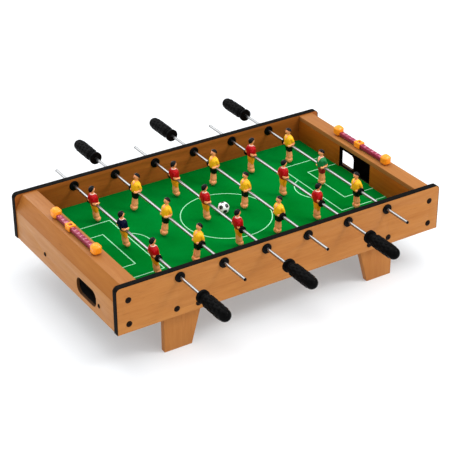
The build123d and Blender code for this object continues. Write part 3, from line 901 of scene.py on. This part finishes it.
def neckline(bm, torso, skin_slot, collar_slot):
    """A V of skin on the chest, edged by a thin collar."""
    sections = smooth_through(torso, 6)
    top, point = 17.3, 9.6

    def chest(side, level, lift):
        """The shirt's front surface at a side and level."""
        for low, high in zip(sections, sections[1:]):
            if low[0] <= level <= high[0]:
                t = (level - low[0]) / (high[0] - low[0])
                _, width, depth, forward, power = (a + (b - a) * t for a, b in zip(low, high))
                share = max(0.0, 1 - (abs(side) / width) ** power)
                return (forward + depth * share ** (1 / power) + lift, side, level)
        return (3.0, side, level)

    def half_width(level):
        return 3.3 * (level - point) / (top - point)

    rows, columns = 8, 8
    grid = []
    for i in range(rows + 1):
        level = point + (top - point) * i / rows
        wide = max(0.05, half_width(level))
        grid.append([bm.verts.new(chest(wide * (2 * j / columns - 1), level, 0.14))
                     for j in range(columns + 1)])
    for below, above in zip(grid, grid[1:]):
        for j in range(columns):
            face = bm.faces.new((below[j], below[j + 1], above[j + 1], above[j]))
            face.material_index = skin_slot
    for side in (-1, 1):
        edge = []
        for i in range(7):
            level = point - 0.1 + (top - point) * i / 6
            edge.append((*chest(side * half_width(level), level, 0.12), 0.34))
        limb(bm, edge, collar_slot, steps=8, spans=1)


def players():
    """Three figures a rod, in the kits of their team; the middle one by a goal is its keeper."""
    def paint(name, colour, shine=0.22):
        return plastic(name, colour, rough=0.26, spread=0.06, shine=shine)

    pale = paint("figure_pale_trim", PALE_SKIN)
    ochre = paint("shorts_ochre", OCHRE)
    yellow = paint("shirt_yellow", YELLOW)
    long_shorts, short_shorts = (-16.5, 0.70), (-12.5, 1.0)
    kits = {
        "red": (paint("shirt_red", RED, 0.12), ochre, pale, long_shorts),
        "yellow": (yellow, paint("shorts_black", BLACK), yellow, short_shorts),
        "red_keeper": (paint("shirt_navy", NAVY, 0.06), ochre, pale, long_shorts),
        "yellow_keeper": (paint("shirt_green", KEEPER_GREEN), paint("shorts_maroon", KEEPER_MAROON),
                          pale, short_shorts),
    }
    for k in RODS:
        spot = middle(f"rod_{k}")
        rest = middle(f"players_{k}").y
        tilt = math.radians(REST_TILT[k - 1])
        facing = 1 if k % 2 else -1
        up = Vector((math.sin(tilt), 0, math.cos(tilt)))
        forward = Vector((math.cos(tilt), 0, -math.sin(tilt))) * facing
        team = "red" if k % 2 else "yellow"
        for number, step in enumerate((-1, 0, 1), start=1):
            keeper = step == 0 and k in (1, 6)
            shirt, shorts, collar, cut = kits[f"{team}_keeper" if keeper else team]
            materials = [skin, shirt, shorts, hair, lips, collar]
            at = (spot.x, rest + step * PLAYER_PITCH * MM, spot.z)
            body = joined([(figure(*cut), placing(at, forward, up))])
            finished(f"rod_{k}_player_{number}", body, materials, f"rod_{k}_spin",
                     [f"players_{k}"], sharp=60.0)


# ---------------------------------------------------------------- score counters and ball

def numeral(text, size, depth):
    """A generic digit or two as a solid, centred on its own middle, in mm."""
    curve = bpy.data.curves.new("numeral", "FONT")
    curve.body = text
    curve.size = size
    curve.extrude = depth
    curve.align_x = "CENTER"
    curve.align_y = "CENTER"
    curve.resolution_u = 3
    holder = bpy.data.objects.new("numeral", curve)
    mesh = bpy.data.meshes.new_from_object(holder)
    bm = bmesh.new()
    bm.from_mesh(mesh)
    bpy.data.objects.remove(holder)
    bpy.data.curves.remove(curve)
    bpy.data.meshes.remove(mesh)
    bmesh.ops.remove_doubles(bm, verts=bm.verts, dist=1e-4)
    return bm


def counters():
    """Posts, rails with numerals, and the sliding pointers."""
    marks, mark_pitch, digit_size, digit_height = 11, 10.2, 8.6, 0.12
    eased("score_post_set", "score_posts", [orange], "table", 0.6)
    for end, inward in ENDS.items():
        eased(f"{end}_rail_bar", f"{end}_score_rail", [maroon], "table", 0.5)
        eased(f"{end}_pointer_saddle", f"{end}_score_pointer", [orange], f"{end}_score_pointer",
              0.4)
        low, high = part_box(f"{end}_score_rail")
        centre = (low + high) / 2
        parts = []
        for i in range(marks):
            y = centre.y + inward * (i - (marks - 1) / 2) * mark_pitch * MM
            digit = numeral(str(i), digit_size, digit_height)
            parts.append((digit, placing((centre.x, y, high.z), (0, inward, 0), (0, 0, 1))))
        finished(f"{end}_rail_numerals", joined(parts), [numeral_pink], "table")


def football():
    """A ball of twelve dark and twenty light panels with shallow seams."""
    low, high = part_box("ball")
    radius = (high.z - low.z) / 2 / MM
    bm = bmesh.new()
    bmesh.ops.create_icosphere(bm, subdivisions=1, radius=radius)
    # Cutting each corner off at over a third of an edge makes the dark panels a little larger
    corner_cut = 0.39 * bm.edges[:][0].calc_length()
    bmesh.ops.bevel(bm, geom=bm.verts[:], offset=corner_cut, affect="VERTICES", clamp_overlap=False)
    for face in bm.faces:
        face.material_index = 1 if len(face.verts) == 5 else 0
    seams = [(e.verts[0].co.copy(), e.verts[1].co.copy()) for e in bm.edges]
    bmesh.ops.poke(bm, faces=bm.faces[:])
    bmesh.ops.subdivide_edges(bm, edges=bm.edges[:], cuts=5, use_grid_fill=True)
    bmesh.ops.triangulate(bm, faces=bm.faces[:])

    def from_seam(point):
        """How far a point on the flat panels is from the nearest panel edge."""
        best = radius
        for a, b in seams:
            along = b - a
            t = max(0.0, min(1.0, (point - a).dot(along) / along.length_squared))
            best = min(best, (a + along * t - point).length)
        return best

    seam_width, seam_depth = 0.45, 0.22
    for vert in bm.verts:
        groove = math.exp(-((from_seam(vert.co) / seam_width) ** 2))
        vert.co = vert.co.normalized() * (radius - seam_depth * groove)
    turn = Euler((math.radians(-73), math.radians(-27), math.radians(-21)))
    bm.transform(turn.to_matrix().to_4x4())
    whole = joined([(bm, placing((low + high) / 2, (1, 0, 0), (0, 0, 1)))])
    finished("football", whole, [ball_white, ball_black], "ball", ["ball"],
             sharp=60.0)


# ---------------------------------------------------------------- stage, light and camera

def stage():
    """A pale floor, a pale sky, and soft lights from above, behind, the left and the front."""
    floor_material, tree, shader = new_material("studio_floor")
    tone = noise(tree, stretched(tree, (1, 1, 1)), 2.0, 2.0)
    tint = blended(tree, tone, (0.60, 0.61, 0.62), (0.62, 0.63, 0.64))
    tree.links.new(tint, shader.inputs["Base Color"])
    shader.inputs["Roughness"].default_value = 0.7
    shader.inputs["Emission Color"].default_value = (0.95, 0.98, 1.0, 1.0)
    shader.inputs["Emission Strength"].default_value = 0.27
    shader.inputs["Specular IOR Level"].default_value = 0.1
    bm = bmesh.new()
    bmesh.ops.create_grid(bm, x_segments=8, y_segments=8, size=15.0)
    mesh = bpy.data.meshes.new("floor")
    bm.to_mesh(mesh)
    bm.free()
    mesh.materials.append(floor_material)
    floor = bpy.data.objects.new("floor", mesh)
    bpy.context.scene.collection.objects.link(floor)

    world = bpy.data.worlds.new("studio")
    world.use_nodes = True
    background = world.node_tree.nodes["Background"]
    background.inputs["Color"].default_value = (0.94, 0.97, 1.0, 1.0)
    background.inputs["Strength"].default_value = 0.62
    bpy.context.scene.world = world

    def softbox(name, spot, size, power):
        """A square area light aimed at the table."""
        data = bpy.data.lights.new(name, "AREA")
        data.size = size
        data.energy = power
        lamp = bpy.data.objects.new(name, data)
        lamp.location = spot
        lamp.rotation_mode = "QUATERNION"
        lamp.rotation_quaternion = (Vector((0, 0, 0.1)) - Vector(spot)).to_track_quat("-Z", "Y")
        bpy.context.scene.collection.objects.link(lamp)

    softbox("top", (0.1, 0.1, 2.5), 2.6, 46.0)
    softbox("back", (-0.7, 5.6, 3.8), 6.0, 250.0)
    softbox("key", (1.4, -1.3, 2.1), 0.8, 33.0)
    softbox("left", (-2.6, -1.0, 1.3), 1.4, 13.0)
    softbox("front", (0.6, -2.8, 1.2), 1.4, 12.0)


def camera():
    """The camera at the photograph's angle, by its direction from the table and its roll."""
    data = bpy.data.cameras.new("camera")
    data.sensor_width = 36.0
    data.lens = 117.87
    made = bpy.data.objects.new("camera", data)
    azimuth, elevation, roll = math.radians(-32.12), math.radians(29.49), math.radians(-0.27)
    back = Vector((
        math.sin(azimuth) * math.cos(elevation),
        -math.cos(azimuth) * math.cos(elevation),
        math.sin(elevation),
    ))
    level = Vector((0, 0, 1)).cross(back).normalized()
    upright = back.cross(level)
    right = level * math.cos(roll) + upright * math.sin(roll)
    up = upright * math.cos(roll) - level * math.sin(roll)
    turn = Matrix((right, up, back)).transposed().to_4x4()
    made.matrix_world = Matrix.Translation((-1.1236, -1.7854, 1.2714)) @ turn
    bpy.context.scene.collection.objects.link(made)
    bpy.context.scene.camera = made
    bpy.context.scene.view_settings.view_transform = "Standard"


camera()
stage()
cabinet()
field()
screws()
bushings()
rods()
players()
counters()
football()
